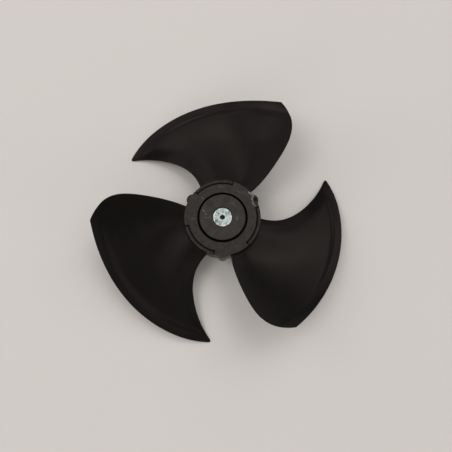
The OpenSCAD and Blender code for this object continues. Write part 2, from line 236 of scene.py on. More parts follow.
class BladeForm:
    """The skin of one blade, by distance from the hub and share of the chord."""

    def __init__(self, sizes):
        self.wall = sizes.wall / MM
        self.hub_r = sizes.hub_d / MM / 2
        self.span = sizes.fan_d / MM / 2 - self.hub_r
        self.fillet = sizes.root_fillet / MM
        self.rim_roll = sizes.rim_roll / MM
        self.roll_fall = sizes.roll_fall / MM
        self.band = sizes.rim_band / MM
        self.band_falls = sizes.band_fall_trail / MM, sizes.band_fall_lead / MM
        self.nose_roll = sizes.nose_roll / MM
        self.nose_roll_fall = sizes.nose_roll_fall / MM
        self.nose = sizes.nose_w / MM
        self.nose_fall = sizes.nose_fall / MM
        self.tip_round = sizes.tip_round / MM
        self.tip_relief = sizes.tip_relief / MM
        self.rim_round = sizes.rim_round / MM
        self.t_root = sizes.blade_t_root / MM
        self.t_tip = sizes.blade_t_tip / MM

    def radius(self, u, t):
        past = clamp((t - TIP_RELIEF_AT) / (1 - TIP_RELIEF_AT))
        relief = self.tip_relief * np.maximum(0, u) * past**2
        return self.hub_r + self.span * u - relief

    def chord(self, u):
        sweep = bezier(LEAD_ANGLES, u) - bezier(TRAIL_ANGLES, u)
        return (self.hub_r + self.span * u) * np.radians(sweep)

    def kept(self, d):
        """Share of the chord that the rounding of the leading tip leaves."""
        x = clamp((d - self.span + self.tip_round) / self.tip_round)
        return 1 - self.tip_round * (1 - np.sqrt(1 - x * x)) / self.chord(d / self.span)

    def swell(self, y, x, roll, roll_fall, strip, strip_fall):
        """Extra height at distance y inside an edge: a swell up to it, a roll and a strip."""
        over = clamp((roll - y) / (roll - strip))
        rolled = roll_fall * (1 - over * over) + strip_fall
        outside = np.where(y > strip, rolled, strip_fall * y / strip)
        return np.where(y > roll, (roll_fall + strip_fall) * ease(x), outside)

    def band_lift(self, d, t):
        x = (d / self.span - SWELL_AT) / (1 - self.rim_roll / self.span - SWELL_AT)
        fall = mix(*self.band_falls, ease(t / BAND_REACH))
        return self.swell(self.span - d, x, self.rim_roll, self.roll_fall, self.band, fall)

    def nose_lift(self, u, t):
        c = self.chord(u)
        x = (t - NOSE_AT) / (1 - self.nose_roll / c - NOSE_AT)
        return self.swell(
            (1 - t) * c, x, self.nose_roll, self.nose_roll_fall, self.nose, self.nose_fall
        )

    def lift(self, d, t):
        u = d / self.span
        behind = (1 - t) * self.chord(u) / self.nose_roll
        band = self.band_lift(d, t) * ease(behind / BAND_FADE)
        return band + self.nose_lift(u, t) * ease((self.span - d) / self.rim_roll)

    def belly(self, u, t):
        """Depth of the hollow, whose shape is 1 in the middle and 0 at the edges."""
        return 16 * u * (1 - u) * t * (1 - t) * (BELLY_SINK + BELLY_LEAN * (1 - 2 * t))

    def mean_z(self, d, t):
        u = d / self.span
        a, b = bezier(TRAIL_HEIGHTS, u), bezier(LEAD_HEIGHTS, u)
        pulls = (0.0, bezier(CAMBER_FIRST, u), bezier(CAMBER_SECOND, u), 1.0)
        return a + (b - a) * bezier(pulls, t) + self.lift(d, t) - self.belly(u, t)

    def mean_a(self, u, t):
        return mix(bezier(TRAIL_ANGLES, u), bezier(LEAD_ANGLES, u), t)

    def half_t(self, d, w):
        u = clamp(d / self.span)
        f = clamp(1 - np.maximum(0, d) / self.fillet)
        body = mix(self.t_root, self.t_tip, u) / 2
        body = body * mix(TRAIL_THIN, 1, ease(w / TRAIL_THIN_WIDTH))
        return body + self.fillet * (1 - np.sqrt(1 - f * f)) * FILLET_SHARE

    def point(self, d, t, side):
        """Points of the upper (side 1) or the lower (side -1) skin."""
        u = d / self.span
        r, c = self.radius(u, t), self.chord(u)
        w, v = t * c, (self.kept(d) - t) * c
        step = 0.01
        ds = r * np.radians(self.mean_a(u, t + step) - self.mean_a(u, t))
        dz = self.mean_z(d, t + step) - self.mean_z(d, t)
        length = np.hypot(ds, dz)
        near = np.minimum(
            w / self.half_t(self.span, 0.0), v / self.half_t(self.span, TRAIL_THIN_WIDTH)
        )
        round_edge = np.sqrt(1 - (1 - clamp(near)) ** 2)
        x = clamp((d - self.span + self.rim_round) / self.rim_round)
        round_rim = np.sqrt(np.maximum(0.0, 1 - (x * RIM_ROUND_SHARE) ** 2))
        h = side * round_rim * self.half_t(d, w) * round_edge
        a = np.radians(self.mean_a(u, t)) - h * dz / length / r
        return np.stack(
            [r * np.cos(a), r * np.sin(a), self.mean_z(d, t) + h * ds / length], -1
        )

    def stations(self):
        """Distances from the hub surface at which the skin has its sections."""
        root = [share * self.fillet for share in ROOT_SECTIONS]
        roll_at, band_at = self.span - self.rim_roll, self.span - self.band
        tip_at = self.span - self.tip_round
        body = np.linspace(self.fillet, roll_at, BODY_SECTIONS)[1:]
        roll = np.linspace(roll_at, band_at, ROLL_SECTIONS)[1:]
        band = np.linspace(band_at, tip_at, BAND_SECTIONS)[1:]
        turn = np.radians(np.linspace(0, 90, TIP_SECTIONS))[1:]
        tip = self.span - self.tip_round * np.cos(turn)
        edge = self.span - self.rim_round * np.cos(np.radians(RIM_SECTIONS))
        loops = np.concatenate([[-self.wall / 2], root, body, roll, band, tip, edge])
        return np.unique(np.round(loops, 4))

    def shares(self, d):
        """Shares of the chord for the section at distance d."""
        c, k = self.chord(d / self.span), self.kept(d)
        trail = self.half_t(self.span, 0.0) / c
        lead = self.half_t(self.span, TRAIL_THIN_WIDTH) / c
        nose = 1 - np.cos(np.radians(np.linspace(0, 90, EDGE_POINTS)))
        i = np.linspace(0, 1, CHORD_POINTS)[1:-1]
        crowded = mix(i, (1 - np.cos(math.pi * i)) / 2, CROWDING)
        middle = mix(trail, k - lead, crowded)
        return np.concatenate([nose * trail, middle, k - nose[::-1] * lead])

    def mesh(self, turn):
        """Points and faces of the blade, turned about the shaft by turn degrees."""
        loops = []
        for d in self.stations():
            t = self.shares(d)
            top = self.point(d, t, 1.0)
            low = self.point(d, t, -1.0)
            loops.append(np.concatenate([top, low[-2:0:-1]]))
        m, n = len(loops[0]), len(loops)
        points = np.concatenate(loops)
        a = math.radians(turn)
        c, s = math.cos(a), math.sin(a)
        points = points @ np.array([[c, s, 0], [-s, c, 0], [0, 0, 1.0]])
        faces = [
            (i * m + k, i * m + (k + 1) % m, (i + 1) * m + (k + 1) % m, (i + 1) * m + k)
            for i in range(n - 1)
            for k in range(m)
        ]
        # Both ends are closed by strips from the upper to the lower skin.
        last = (n - 1) * m
        for k in range(m // 2):
            p, q, x, y = k, k + 1, (m - k) % m, m - k - 1
            ring = tuple(dict.fromkeys((p, x, y, q)))
            faces.append(ring)
            faces.append(tuple(last + i for i in reversed(ring)))
        return points, faces


# ---------------------------------------------------------------- mesh helpers
def solid(name, points, faces):
    """A new mesh object from points in millimetres."""
    mesh = bpy.data.meshes.new(name)
    mesh.from_pydata([tuple(p) for p in np.asarray(points) * MM], [], faces)
    mesh.validate()
    piece = bpy.data.objects.new(name, mesh)
    bpy.context.scene.collection.objects.link(piece)
    return piece


def closed(name, points, faces):
    """A closed mesh object whose faces are turned outward."""
    piece = solid(name, points, faces)
    bm = bmesh.new()
    bm.from_mesh(piece.data)
    bmesh.ops.recalc_face_normals(bm, faces=bm.faces)
    bm.to_mesh(piece.data)
    bm.free()
    return piece


def rounded(corners, steps=4):
    """A closed outline from (x, y, radius) corners, with an arc at each that has a radius."""
    out = []
    count = len(corners)
    for i, (x, y, r) in enumerate(corners):
        here = Vector((x, y))
        before = Vector(corners[i - 1][:2]) - here
        after = Vector(corners[(i + 1) % count][:2]) - here
        if r <= 0:
            out.append((x, y))
            continue
        angle = before.angle(after)
        cut = min(r / math.tan(angle / 2), before.length * 0.49, after.length * 0.49)
        a, b = before.normalized(), after.normalized()
        r = cut * math.tan(angle / 2)
        centre = here + (a + b).normalized() * (r / math.sin(angle / 2))
        start, end = here + a * cut - centre, here + b * cut - centre
        turn = start.angle_signed(end)
        for k in range(steps + 1):
            c, s = math.cos(-turn * k / steps), math.sin(-turn * k / steps)
            x = centre.x + start.x * c - start.y * s
            y = centre.y + start.x * s + start.y * c
            out.append((x, y))
    return out


def turned(points, angle):
    """Points turned about the shaft by an angle in degrees."""
    a = math.radians(angle)
    c, s = math.cos(a), math.sin(a)
    return [(x * c - y * s, x * s + y * c, z) for x, y, z in points]


def on_circle(radius, angle):
    """The point at a radius and an angle in degrees round the shaft."""
    a = math.radians(angle)
    return radius * math.cos(a), radius * math.sin(a)


def lathed(outline, segments, centre):
    """The points of an outline of (radius, height), repeated in a circle round a centre."""
    points = []
    for i in range(segments):
        a = 2 * math.pi * i / segments
        points += [
            (centre[0] + r * math.cos(a), centre[1] + r * math.sin(a), z)
            for r, z in outline
        ]
    return points


def revolved(name, outline, segments=192, centre=(0.0, 0.0)):
    """A ring whose outline of (radius, height) points doesn't touch its axis."""
    m = len(outline)
    faces = []
    for i in range(segments):
        a, b = i * m, (i + 1) % segments * m
        faces += [(a + k, b + k, b + (k + 1) % m, a + (k + 1) % m) for k in range(m)]
    return closed(name, lathed(outline, segments, centre), faces)


def spun(name, outline, segments, centre):
    """A solid of revolution whose outline starts and ends on its axis."""
    inner = outline[1:-1]
    ends = (*centre, outline[0][1]), (*centre, outline[-1][1])
    points = [ends[0], *lathed(inner, segments, centre), ends[1]]
    n, last = len(inner), len(points) - 1
    faces = []
    for i in range(segments):
        a, b = 1 + i * n, 1 + (i + 1) % segments * n
        faces.append((0, b, a))
        faces += [(a + k, b + k, b + k + 1, a + k + 1) for k in range(n - 1)]
        faces.append((a + n - 1, b + n - 1, last))
    return closed(name, points, faces)


def lofted(name, loops):
    """A closed solid through loops of equally many points."""
    n, count = len(loops[0]), len(loops)
    faces = [tuple(range(n - 1, -1, -1)), tuple((count - 1) * n + i for i in range(n))]
    for k in range(count - 1):
        a, b = k * n, (k + 1) * n
        faces += [(a + i, a + (i + 1) % n, b + (i + 1) % n, b + i) for i in range(n)]
    return closed(name, [p for loop in loops for p in loop], faces)


def sector(name, start, end, inner, outer, low, high):
    """A curved bar between two angles in degrees, two radii and two heights."""
    count = max(1, round(abs(end - start)))
    angles = np.radians(np.linspace(start, end, count + 1))
    outline = [(outer * math.cos(a), outer * math.sin(a)) for a in angles]
    outline += [(inner * math.cos(a), inner * math.sin(a)) for a in angles[::-1]]
    total = len(outline)
    points = [(*p, z) for z in (low, high) for p in outline]
    faces = []
    for i in range(count):
        a, b, c, d = i, i + 1, total - 2 - i, total - 1 - i
        faces.append((d, c, b, a))
        faces.append((total + a, total + b, total + c, total + d))
    for i in range(total):
        j = (i + 1) % total
        faces.append((i, j, total + j, total + i))
    return closed(name, points, faces)


def combine(piece, others, how):
    """Joins others to a piece (UNION), cuts them from it (DIFFERENCE), or keeps only what
    it has in common with them (INTERSECT)."""
    for other in others:
        change = piece.modifiers.new("change", "BOOLEAN")
        change.operation, change.object, change.solver = how, other, "MANIFOLD"
        bpy.context.view_layer.update()
        result = bpy.data.meshes.new_from_object(
            piece.evaluated_get(bpy.context.evaluated_depsgraph_get())
        )
        piece.modifiers.clear()
        old, piece.data = piece.data, result
        bpy.data.meshes.remove(old)
        bpy.data.objects.remove(other)


def smooth(piece):
    """Smooth shading, with crisp edges where the faces turn by more than CRISP degrees."""
    mesh = piece.data
    mesh.polygons.foreach_set("use_smooth", [True] * len(mesh.polygons))
    mesh.set_sharp_from_angle(angle=math.radians(CRISP))
    weighted = piece.modifiers.new("weighted", "WEIGHTED_NORMAL")
    weighted.keep_sharp, weighted.weight = True, 80


def finished(piece, nodes, material):
    """Gives a piece its finish and its place in the frame."""
    piece.data.materials.clear()
    piece.data.materials.append(material)
    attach(piece, BODY)
    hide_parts(*nodes)


# ---------------------------------------------------------------- shader helpers
# Sockets of a Mix node set to colours: the share and the two colours, and the result.
MIX_INPUTS, MIX_RESULT = (0, 6, 7), 2


class Signal:
    """A shader value. Arithmetic on it adds Math nodes."""

    def __init__(self, sheet, socket):
        self.sheet, self.socket = sheet, socket

    def _math(self, operation, *values):
        return self.sheet.node("Math", {"operation": operation}, values)

    def __add__(self, other):
        return self._math("ADD", self, other)

    def __radd__(self, other):
        return self._math("ADD", other, self)

    def __sub__(self, other):
        return self._math("SUBTRACT", self, other)

    def __rsub__(self, other):
        return self._math("SUBTRACT", other, self)

    def __mul__(self, other):
        return self._math("MULTIPLY", self, other)

    def __rmul__(self, other):
        return self._math("MULTIPLY", other, self)

    def __pow__(self, other):
        return self._math("POWER", self, other)

    def __rpow__(self, other):
        return self._math("POWER", other, self)

    def __abs__(self):
        return self._math("ABSOLUTE", self)

    def most(self, other):
        return self._math("MAXIMUM", self, other)

    def least(self, other):
        return self._math("MINIMUM", self, other)

    def ramp(self, low, high, start=0.0, end=1.0):
        """Smooth change from start to end as the value goes from low to high."""
        smooth = {"interpolation_type": "SMOOTHSTEP"}
        return self.sheet.node("MapRange", smooth, (self, low, high, start, end))

    def below(self, limit, soft):
        """1 below a limit and 0 above it, changing within soft of it on both sides."""
        return self.ramp(limit + soft, limit - soft)

    def above(self, limit, soft):
        """1 above a limit and 0 below it."""
        return self.ramp(limit - soft, limit + soft)

    def near(self, centre, width):
        """1 at the centre, falling to 0 at width on both sides."""
        return abs(self - centre).ramp(width, 0.0)


class Finish:
    """A material's node sheet."""

    def __init__(self, name):
        self.material = bpy.data.materials.new(name)
        self.material.use_nodes = True
        self.tree = self.material.node_tree
        self.tree.nodes.clear()

    def node(self, kind, settings, inputs, out=0):
        """Adds a node by its type, its settings, and its sockets' values or links."""
        made = self.tree.nodes.new("ShaderNode" + kind)
        for key, value in settings.items():
            setattr(made, key, value)
        pairs = inputs.items() if isinstance(inputs, dict) else enumerate(inputs)
        for key, value in pairs:
            socket = made.inputs[key]
            if isinstance(value, Signal):
                self.tree.links.new(value.socket, socket)
            elif socket.type == "RGBA":
                socket.default_value = (*value, 1.0)
            else:
                socket.default_value = value
        return Signal(self, made.outputs[out] if made.outputs else None)

    def place(self):
        """Object coordinates, in metres in the shared frame."""
        return self.node("TexCoord", {}, (), "Object")

    def parts(self, vector):
        """The x, y and z of a vector."""
        split = self.node("SeparateXYZ", {}, (vector,))
        return [Signal(self, socket) for socket in split.socket.node.outputs]

    def marks(self, x, y, lines):
        """Sum of straight marks, each from (start, end, width, strength) in millimetres."""
        total = None
        for (x0, y0), (x1, y1), width, strength in lines:
            half = math.hypot(x1 - x0, y1 - y0) / 2
            c, s = (x1 - x0) / half / 2, (y1 - y0) / half / 2
            u, v = x - (x0 + x1) / 2 * MM, y - (y0 + y1) / 2 * MM
            along, across = u * c + v * s, v * c - u * s
            ends = abs(along).ramp(half * MM, half * MM * 0.5, 0.0, strength)
            mark = ends * across.near(0.0, width * MM)
            total = mark if total is None else total + mark
        return total

    def noise(self, vector, scale, detail, roughness):
        """Irregular value round 0.5, finer as the scale grows."""
        inputs = {"Vector": vector, "Scale": scale, "Detail": detail, "Roughness": roughness}
        return self.node("TexNoise", {"noise_dimensions": "3D"}, inputs)

    def blend(self, share, first, second):
        """Colour that goes from first to second as share goes from 0 to 1."""
        inputs = dict(zip(MIX_INPUTS, (share, first, second)))
        return self.node("Mix", {"data_type": "RGBA"}, inputs, MIX_RESULT)

    def bump(self, height, strength):
        """Normal from a height in metres."""
        inputs = {"Height": height, "Distance": 1.0, "Strength": strength}
        return self.node("Bump", {}, inputs)

    def surface(self, colour, roughness, **others):
        """Ends the sheet with one shader, and gives its material."""
        inputs = {"Base Color": colour, "Roughness": roughness}
        inputs.update((key.replace("_", " "), value) for key, value in others.items())
        shader = self.node("BsdfPrincipled", {}, inputs)
        self.node("OutputMaterial", {}, (shader,))
        return self.material


def black_plastic(look, disc_face):
    """Glass-filled black plastic: satin blades, a dull hub face with weld lines and scuffs,
    painted shade in its hollows and a painted shadow round the bush.
    """
    f = Finish("black_plastic")
    place = f.place()
    x, y, z = f.parts(place)
    r = (x * x + y * y) ** 0.5
    angle = f.node("Math", {"operation": "ARCTAN2"}, (y, x))
    flow = f.node("CombineXYZ", {}, (angle * 9.0, r * 60.0, z * 20.0))
    streaks = f.noise(flow, 1.4, 3.0, 0.6)
    cloudy = f.noise(place, 28.0, 4.0, 0.6)
    patchy = f.noise(place, 140.0, 3.0, 0.6)
    ragged = f.noise(place, 620.0, 3.0, 0.65)
    grain = f.noise(place, 900.0, 2.0, 0.6)
    shade = cloudy * 0.5 + streaks * 0.5
    colour = f.blend(shade.ramp(0.3, 0.7), look.dark, look.light)
    # The hub's face: dust, made darker on the lowered lips, and weld lines, then scuffs and
    # the whitened break.
    face = r.below(FACE_R, 0.0005) * z.above(FACE_Z, 0.0005)
    lip_darkening = z.below(LIP_Z, 0.00025) * LIP_DARKENING
    dusty = r.ramp(*DISC_TO_RING, DISC_DUST, RING_DUST) - lip_darkening + (patchy - 0.5) * 1.5
    dusty = dusty + f.marks(x, y, WELD_LINES)
    colour = f.blend((face * dusty * look.hub_dust).least(1.0), colour, look.dust)
    worn = f.marks(x, y, SCUFFS) * ragged.ramp(0.3, 0.6, 0.4, 1.3)
    white = f.marks(x, y, WHITENED) * ragged.ramp(0.3, 0.55, 0.5, 1.0)
    pale = (face * (worn + white)).least(1.0) * look.whitening
    colour = f.blend(pale, colour, look.white)
    # Painted shade deep in the dials' lines, the grooves and the pocket, and a painted
    # shadow on the upper side of the ring round the bush.
    disc = r.below(DISC_OUTER, 0.0005) * r.above(DISC_INNER, 0.0005)
    lines = disc * z.below(disc_face - 0.0002, 0.0001)
    grooves = z.below(GROOVE_Z, 0.00035) * r.below(ARC_OUTER, 0.0003)
    grooves = grooves * r.ramp(*RING_GROOVE_TO_ARC, 0.8, 1.0)
    pocket = f.marks(x, y, POCKET) * z.below(POCKET_Z, 0.0005)
    # Painted shadow on the upper side of the ring round the bush.
    bush_shadow = r.near(BUSH_SHADOW_R, BUSH_SHADOW_W) * y.above(0.006, 0.004)
    deep = lines.most(grooves).most(pocket).most(bush_shadow)
    # The painted shade and shadow blend the colour towards the dark hollow colour.
    colour = f.blend(deep * 0.8, colour, look.hollow)
    rough = look.roughness + (shade - 0.5) * 0.05 + face * 0.1 + deep * 0.3
    height = grain * 0.00004 + cloudy * 0.00002 + face * patchy * 0.0003
    return f.surface(
        colour,
        rough,
        Normal=f.bump(height, 0.6),
        IOR=1.5,
        Specular_IOR_Level=look.specular,
        Specular_Tint=look.sheen,
    )


def zinc_plate(look):
    """Dull zinc plate on the bush: mottled, with painted highlights on its outer edge and the
    bore's mouth, stained in the bore, with painted shade on the bore's upper side and in the
    punch mark.
    """
    f = Finish("plated_steel")
    place = f.place()
    x, y, z = f.parts(place)
    r = (x * x + y * y) ** 0.5
    blotch = f.noise(place, 300.0, 3.0, 0.6)
    spots = f.noise(place, 560.0, 2.0, 0.5)
    patches = f.noise(place, 150.0, 1.0, 0.5)
    colour = f.blend(blotch.ramp(0.42, 0.57), look.zinc_dark, look.zinc)
    colour = f.blend(spots.ramp(0.56, 0.64) * 0.7, colour, look.zinc_green)
    # Painted highlights on the outer edge and the bore's mouth, patchy, with random bright
    # specks.
    edge = r.ramp(*BUSH_EDGE) * patches.ramp(0.44, 0.56, 0.15, 1.0)
    mouth = r.near(MOUTH_R, MOUTH_W) * patches.ramp(0.35, 0.6, 0.7, 1.0)
    bright = edge.most(mouth) + spots.ramp(0.4, 0.3)
    colour = f.blend(bright.least(1.0), colour, look.zinc_specks_and_highlight)
    # Painted shade in the punch mark, and a dark speck beside it.
    punch_shade_and_speck = f.marks(x, y, PUNCH_SHADE_AND_SPECK).least(1.0)
    colour = f.blend(punch_shade_and_speck * 0.9, colour, look.punch_shade_and_speck)
    # The bore: brown stain on its lower side and painted shade on its upper side.
    bore = r.below(BORE_R, 0.0001)
    stain_and_shade = f.blend(y.below(-0.0007, 0.0015), look.bore_shade, look.bore)
    colour = f.blend(bore, colour, stain_and_shade)
    rough = 0.42 + (blotch - 0.5) * 0.3 + bore * 0.2
    height = blotch * 0.00008 + spots * 0.00005
    return f.surface(
        colour, rough, Normal=f.bump(height, 0.7), Metallic=look.metallic, IOR=1.5
    )


def plain_floor(look):
    f = Finish("plain_floor")
    return f.surface(look.floor, 0.9, Specular_IOR_Level=0.2)


# ---------------------------------------------------------------- settings
def length(name, about, value, low=0.0, high=1.0):
    return bpy.props.FloatProperty(
        name=name,
        description=about,
        default=value,
        min=low,
        max=high,
        unit="LENGTH",
        subtype="DISTANCE",
        precision=4,
    )


def colour(name, about, value):
    return bpy.props.FloatVectorProperty(
        name=name,
        description=about,
        default=value,
        size=3,
        min=0.0,
        max=1.0,
        subtype="COLOR",
    )


def share(name, about, value, low=0.0, high=1.0):
    return bpy.props.FloatProperty(
        name=name,
        description=about,
        default=value,
        min=low,
        max=high,
        subtype="FACTOR",
    )


class MouldingSizes(bpy.types.PropertyGroup):
    """Sizes of the black moulding."""

    fan_d: length("Fan diameter", "Diameter over the blades", 0.4)
    hub_d: length("Hub diameter", "Diameter of the hub", 0.12)
    hub_h: length("Hub height", "Height of the hub from its face to its back", 0.055)
    blade_count: bpy.props.IntProperty(
        name="Blades", description="Number of blades", default=3, min=2, max=4
    )
    blade_t_root: length("Blade at the hub", "Thickness at the hub", 0.0046)
    blade_t_tip: length("Blade at the rim", "Thickness at the rim", 0.0029)
    root_fillet: length("Root fillet", "Fillet between blade and hub", 0.003)
    tip_round: length("Tip round", "Radius of the leading tip", 0.006)
    tip_relief: length("Tip relief", "Fall of the rim at the leading tip", 0.0024)
    rim_round: length("Rim round", "Width of the rounding along the rim", 0.002)
    rim_roll: length("Rim roll", "Distance from the rim where it rolls over", 0.0235)
    roll_fall: length("Roll fall", "Fall of that roll", 0.0026)
    rim_band: length("Rim band", "Width of the flat band along the rim", 0.0125)
    band_fall_trail: length("Band fall, trailing", "Fall at the trailing corner", 0.0015)
    band_fall_lead: length("Band fall, leading", "Fall at the leading tip", 0.0002)
    nose_roll: length("Nose roll", "Distance from the leading edge where it rolls", 0.033)
    nose_roll_fall: length("Nose roll fall", "Fall of that roll", 0.0014)
    nose_w: length("Nose width", "Width of the strip along the leading edge", 0.017)
    nose_fall: length("Nose fall", "Fall of the strip", 0.0015)
    wall: length("Wall", "Thickness of the hub wall", 0.0036)
    plate: length("Plate", "Thickness of the hub's end plate", 0.004)
    disc_d: length("Disc diameter", "Diameter of the raised disc", 0.072)
    disc_rise: length("Disc rise", "Rise of the disc over the hub face", 0.0034)
    groove_w: length("Groove width", "Width of the ring groove", 0.0034)
    groove_depth: length("Groove depth", "Depth of the ring groove", 0.013)
    rib_count: bpy.props.IntProperty(
        name="Ribs", description="Number of ribs in the hub", default=6, min=4, max=8
    )
    rib_t: length("Rib", "Thickness of a rib", 0.0026)
    rib_h: length("Rib reach", "Depth of the ribs at the hub wall", 0.038)
    boss_d: length("Boss diameter", "Diameter of the boss round the bush", 0.044)
    bump_r: length("Bump radius", "Radius of the bumps on the hub side", 0.009)
    bump_out: length("Bump stand", "How far the bumps stand out", 0.004)
    arc_r: length("Arc radius", "Mean radius of the arc grooves", 0.0546)
    arc_w: length("Arc width", "Width of the arc grooves", 0.0026)
    arc_depth: length("Arc depth", "Depth of the arc grooves", 0.0032)
    lip_drop: length("Lip drop", "Drop of the lip outside each arc groove", 0.001)
    slot_w: length("Slot width", "Width of the slot at each end of an arc", 0.0026)
    slot_depth: length("Slot depth", "Depth of those slots", 0.0034)
    scar_w: length("Pocket width", "Width of the broken pocket in a bump", 0.005)
    scar_l: length("Pocket length", "Length of the broken pocket", 0.009)
    scar_depth: length("Pocket depth", "Depth of the broken pocket", 0.0022)
    dial_d: length("Dial diameter", "Diameter of the round dials", 0.009)
    dial_r: length("Dial radius", "Radius at which the dials lie", 0.029)
    dial_line: length("Dial line", "Width of a dial's lines", 0.0007)
    dial_depth: length("Dial depth", "Depth of a dial's lines", 0.0004)


class BushSizes(bpy.types.PropertyGroup):
    """Sizes of the shaft bush."""

    bush_d: length("Bush diameter", "Outside diameter of the bush", 0.03)
    top: length("Bush face", "Height of the bush face", BUSH_HIGH.z, -1.0)
    low: length("Bush back", "Height of the bush's back end", BUSH_LOW.z, -1.0)
    chamfer: length("Bush chamfer", "Chamfer at each end", 0.0008)
    bore_d: length("Bore", "Diameter of the shaft bore", 0.008)
    bore_chamfer: length("Bore chamfer", "Chamfer of the bore's mouths", 0.0011)
    punch_d: length("Punch mark", "Diameter of the punch mark", 0.002)
    punch_r: length("Punch radius", "Radius at which the punch mark lies", 0.012)


class Looks(bpy.types.PropertyGroup):
    """Colours and lights."""

    dark: colour("Plastic, dark", "Darkest plastic", (0.00624, 0.00535, 0.00497))
    light: colour("Plastic, light", "Lightest plastic", (0.00732, 0.00629, 0.00583))
    dust: colour("Dust", "Dust on the hub face", (0.09, 0.082, 0.074))
    hub_dust: share("Hub dust", "Share of dust on the hub face", 0.3)
    roughness: share("Roughness", "Roughness of the plastic", 0.3)
    specular: share("Specular", "Specular level of the plastic", 0.088)
    sheen: colour("Sheen", "Tint of the plastic's reflections", (1.0, 0.86, 0.8))
    # Painted shade: the dark colour in the grooves, the dials' lines, the pocket and round the
    # bush.
    hollow: colour("Hollows", "Plastic deep in grooves", (0.001, 0.0009, 0.0008))
    white: colour("Whitened plastic", "Plastic round the break", (0.3, 0.28, 0.26))
    whitening: share("Whitening", "Strength of the whitened marks", 0.6)
    zinc: colour("Zinc", "Plated face", (0.37, 0.43, 0.42))
    zinc_dark: colour("Zinc, dark", "Dull patches of the plate", (0.14, 0.18, 0.17))
    zinc_green: colour("Zinc, green", "Greenish spots", (0.14, 0.19, 0.165))
    # Painted highlight on the bush's outer edge and the bore's mouth, and random bright
    # specks.
    zinc_specks_and_highlight: colour("Zinc, bright", "Edges of the plate", (0.74, 0.76, 0.73))
    # Painted shade in the punch mark, and a dark speck beside it.
    punch_shade_and_speck: colour("Pits", "Specks of missing plate", (0.01, 0.012, 0.012))
    bore: colour("Bore", "Stain inside the bore", (0.07, 0.04, 0.022))
    bore_shade: colour("Bore, dark", "Dark side of the bore", (0.004, 0.0035, 0.003))
    metallic: share("Metallic", "How metallic the plate looks", 0.3)
    floor: colour("Floor", "Plain floor", (0.58, 0.545, 0.515))


class Stage(bpy.types.PropertyGroup):
    """Camera, floor and lamps."""

    lens: bpy.props.FloatProperty(
        name="Lens",
        description="Focal length on a 36 mm sensor",
        default=42.571,
        min=1.0,
        unit="CAMERA",
    )
    camera_at: bpy.props.FloatVectorProperty(
        name="Camera",
        description="Where the camera stands",
        default=(-0.0004, -0.14003, 0.82489),
        subtype="TRANSLATION",
        unit="LENGTH",
        precision=5,
    )
    camera_to: bpy.props.FloatVectorProperty(
        name="Aim",
        description="Point that the camera looks at",
        default=(0.005448, -0.013767, 0.0),
        subtype="TRANSLATION",
        unit="LENGTH",
        precision=5,
    )
    lamps: share("Lamps", "Share of full power on all the lamps", 1.0)
    ambient: share("Ambient", "Strength of the light from all round", 0.046)
    ambient_tint: colour("Ambient tint", "Colour of that light", (1.0, 0.985, 0.965))


